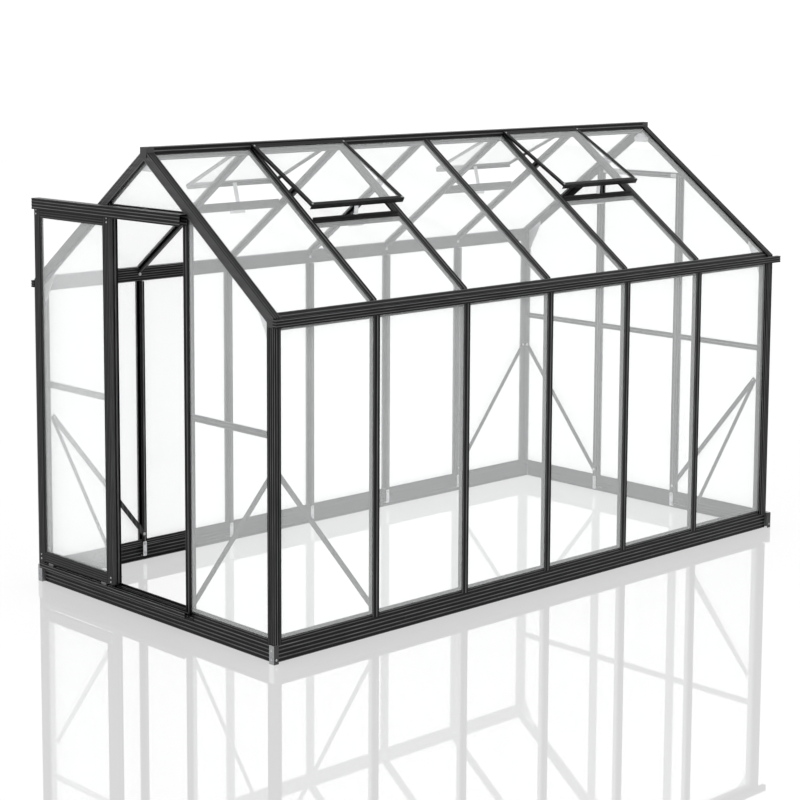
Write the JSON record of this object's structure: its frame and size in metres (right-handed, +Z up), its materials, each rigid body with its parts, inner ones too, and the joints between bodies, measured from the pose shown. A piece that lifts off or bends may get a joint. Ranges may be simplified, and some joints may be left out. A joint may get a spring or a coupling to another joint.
{
  "type": "greenhouse",
  "caption": "Gabled glass greenhouse with thin dark aluminium bars on a low metal base, a sliding gable door hung from a track and propped roof vents.",
  "frame": {"origin": "on the ground, under the middle of the building", "axes": "-Y faces the door gable's outside, +Y runs along the ridge to the plain gable, +Z up, and the door opens towards -X"},
  "size_m": [1.974, 3.913, 2.3598],
  "materials": {
    "dark_metal": "satin black powder coat",
    "base_metal": "satin black powder coat",
    "galvanised": "galvanised",
    "black_plastic": "moulded",
    "glass": "clear"
  },
  "bodies": {
    "house": {"base_front": "base_metal", "base_rear": "base_metal", "base_left": "base_metal", "base_right": "base_metal", "base_corner_angles": "galvanised", "base_straps": "galvanised", "sill_rails": "dark_metal", "post_front_left": "dark_metal", "post_front_right": "dark_metal", "post_rear_left": "dark_metal", "post_rear_right": "dark_metal", "corner_blocks": "black_plastic", "eave_left": "dark_metal", "eave_right": "dark_metal", "ridge": "dark_metal", "ridge_end_caps": "black_plastic", "rafters_front": "dark_metal", "rafters_rear": "dark_metal", "side_bars_left": "dark_metal", "side_bars_right": "dark_metal", "roof_bars_left": "dark_metal", "roof_bars_right": "dark_metal", "gable_posts_front": "dark_metal", "gable_posts_rear": "dark_metal", "gable_rails_front": "dark_metal", "gable_rails_rear": "dark_metal", "braces": "dark_metal", "eave_gussets": "galvanised", "apex_plates": "galvanised", "glass_left": "glass", "glass_right": "glass", "glass_front": "glass", "glass_rear": "glass", "roof_glass_left": "glass", "roof_glass_right": "glass", "vent_sills": "dark_metal", "vent_frames_left": "dark_metal", "vent_frames_right": "dark_metal", "vent_glass": "glass", "vent_stays": "galvanised", "door_track": "dark_metal", "track_brackets": "black_plastic", "door_guide_rail": "dark_metal"},
    "door": {"door_frame": "dark_metal", "door_glass": "glass", "door_wheels": "black_plastic", "door_guides": "black_plastic"}
  },
  "joints": [
    {"name": "door_slide", "type": "slide", "parent": "house", "child": "door", "axis": [1, 0, 0], "range_m": [0, 0.572]}
  ]
}
